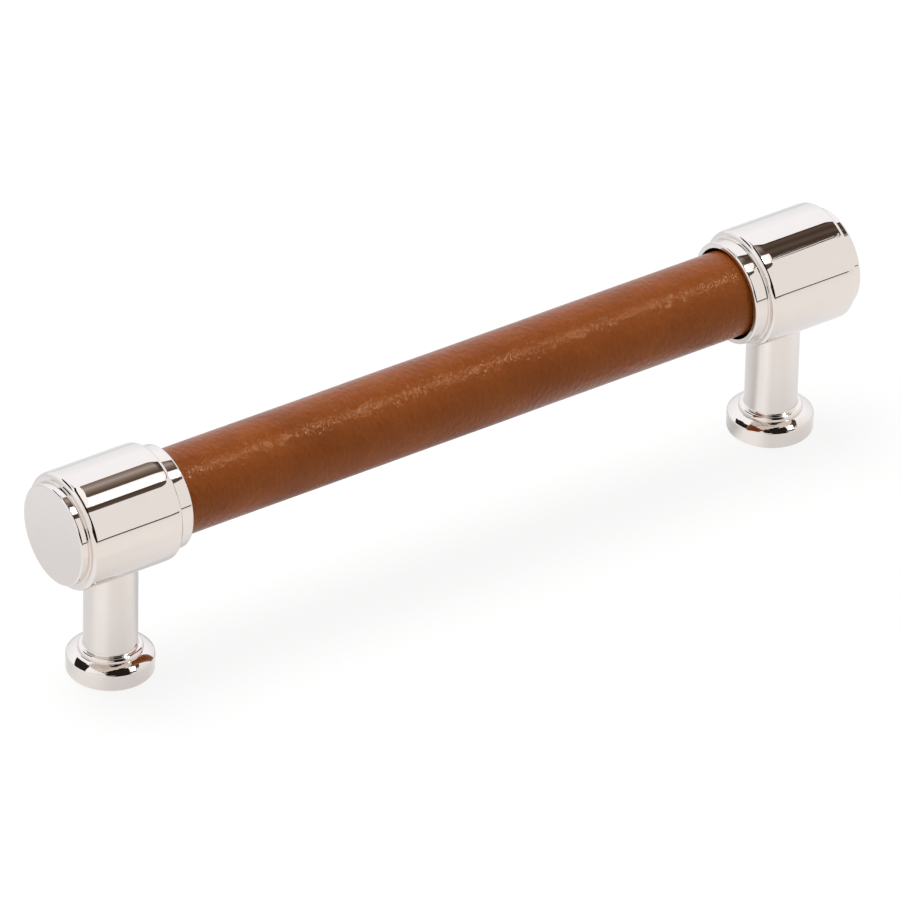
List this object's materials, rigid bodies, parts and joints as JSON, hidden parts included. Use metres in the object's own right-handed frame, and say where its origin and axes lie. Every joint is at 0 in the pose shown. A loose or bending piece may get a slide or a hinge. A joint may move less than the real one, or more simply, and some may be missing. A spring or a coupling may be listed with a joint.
{
  "type": "cabinet pull",
  "caption": "Bar pull with a leather-covered grip held between turned, polished metal ends on round posts, screwed on from behind a door or drawer front.",
  "frame": {"origin": "midway between the undersides of the feet, in the plane of the door that the pull is screwed to", "axes": "+X along the bar, +Y across it, +Z from the door out to the bar"},
  "size_m": [0.15, 0.0196, 0.0385],
  "materials": {
    "nickel_ends": "polished nickel plate on turned brass",
    "nickel_posts": "polished nickel plate on turned brass",
    "tan_leather": "smooth tan leather with a fine grain and a low sheen",
    "steel_core": "drawn bar",
    "black_stud": "black oxide"
  },
  "bodies": {
    "root": {"end_cap_left": "nickel_ends", "end_cap_right": "nickel_ends", "post_left": "nickel_posts", "post_right": "nickel_posts", "leather_sleeve": "tan_leather", "core_rod": "steel_core", "tie_stud_left": "black_stud", "tie_stud_right": "black_stud"}
  },
  "joints": []
}
